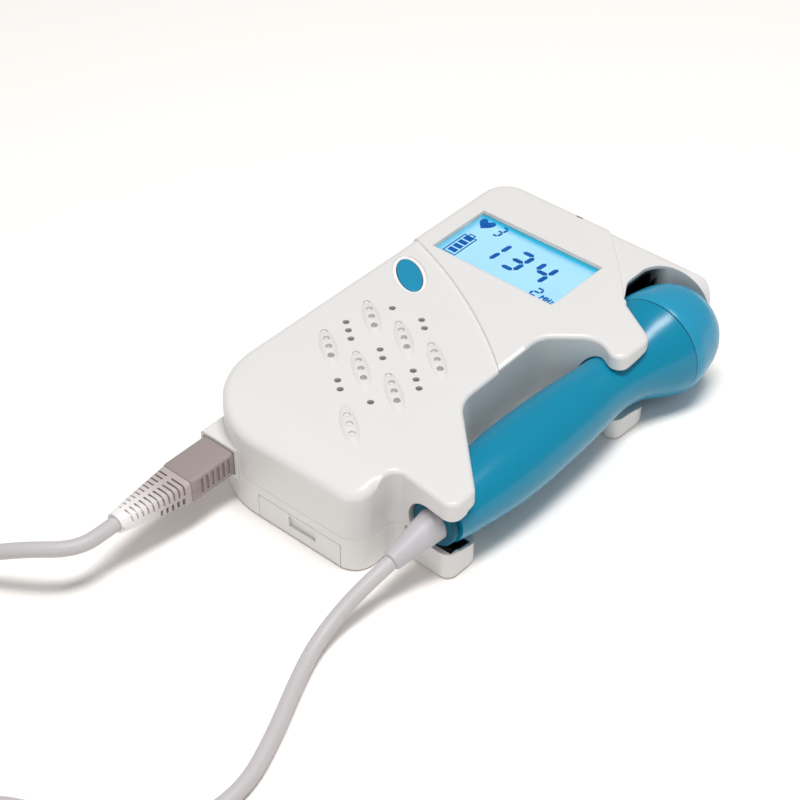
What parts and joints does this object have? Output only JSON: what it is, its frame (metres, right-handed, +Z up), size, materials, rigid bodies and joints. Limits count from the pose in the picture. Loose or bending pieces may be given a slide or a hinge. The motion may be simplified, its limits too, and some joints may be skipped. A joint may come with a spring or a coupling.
{
  "type": "fetal doppler monitor",
  "caption": "Handheld white monitor with display, speaker grille and power button, its round-headed probe clipped in a side cradle and joined to it by a cord.",
  "frame": {"origin": "on the resting surface, under the middle of the case and the probe in its cradle", "axes": "+X towards the probe, +Y towards the display end, +Z up"},
  "size_m": [0.1129, 0.2836, 0.032],
  "materials": {
    "shell_white": "satin",
    "shell_lower": "satin",
    "door_white": "satin",
    "handle_blue": "satin",
    "cap_blue": "satin",
    "button_blue": "satin",
    "plug_grey": "matt",
    "cord_grey": "satin",
    "sleeve_grey": "matt",
    "collar_blue": "satin",
    "window_clear": "polished",
    "display_glass": "polished",
    "backlight": "even",
    "bracket_white": "matt",
    "connector_strip": "matt",
    "board_green": "satin",
    "chip_black": "matt",
    "can_aluminium": "satin",
    "steel": "satin",
    "nickel": "bright",
    "gold": "bright",
    "socket_black": "matt",
    "cell_sleeve": "gloss",
    "cloth_dark": "woven",
    "cone_paper": "matt",
    "magnet_steel": "satin",
    "ceramic_white": "matt",
    "face_resin": "satin",
    "backing_grey": "matt",
    "seal_rubber": "matt",
    "lens_dark": "gloss",
    "tie_black": "matt"
  },
  "bodies": {
    "case": {"top_shell": "shell_white", "bottom_shell": "shell_lower", "aa_cells": "cell_sleeve", "battery_springs": "nickel", "battery_contacts": "nickel", "lcd_window": "window_clear", "lcd_glass": "display_glass", "lcd_backlight": "backlight", "lcd_bracket": "bracket_white", "lcd_connector": "connector_strip", "power_switch": "steel", "speaker_cloth": "cloth_dark", "speaker_basket": "steel", "speaker_magnet": "magnet_steel", "speaker_cone": "cone_paper", "speaker_screws": "steel", "main_board": "board_green", "board_chips": "chip_black", "board_capacitors": "can_aluminium", "board_screws": "steel", "case_screws": "steel", "far_lamp": "lens_dark", "probe_socket": "socket_black", "socket_pins": "gold", "cord_probe_run": "cord_grey", "cord_plug_run": "cord_grey", "cord_coil": "cord_grey", "cord_tie": "tie_black"},
    "probe": {"probe_handle": "handle_blue", "probe_tail_collar": "collar_blue", "probe_sleeve": "sleeve_grey", "probe_cap": "cap_blue", "acoustic_face": "face_resin", "probe_crystals": "ceramic_white", "crystal_backing": "backing_grey", "probe_seal": "seal_rubber", "probe_board": "board_green"},
    "power_button": {"power_button": "button_blue", "switch_plunger": "chip_black"},
    "battery_door": {"battery_door": "door_white"},
    "plug": {"plug_housing": "plug_grey", "plug_contacts": "gold", "plug_boot": "plug_grey"}
  },
  "joints": [
    {"name": "probe_out", "type": "slide", "parent": "case", "child": "probe", "axis": [1, 0, 0], "range_m": [0, 0.035]},
    {"name": "power_button_press", "type": "slide", "parent": "case", "child": "power_button", "axis": [0, 0, -1], "range_m": [0, 0.0005], "stiffness_N_per_m": 400, "springref_m": -0.0005},
    {"name": "battery_door_slide", "type": "slide", "parent": "case", "child": "battery_door", "axis": [0, -1, 0], "range_m": [0, 0.062]},
    {"name": "plug_out", "type": "slide", "parent": "case", "child": "plug", "axis": [0, -1, 0], "range_m": [0, 0.0065]}
  ]
}
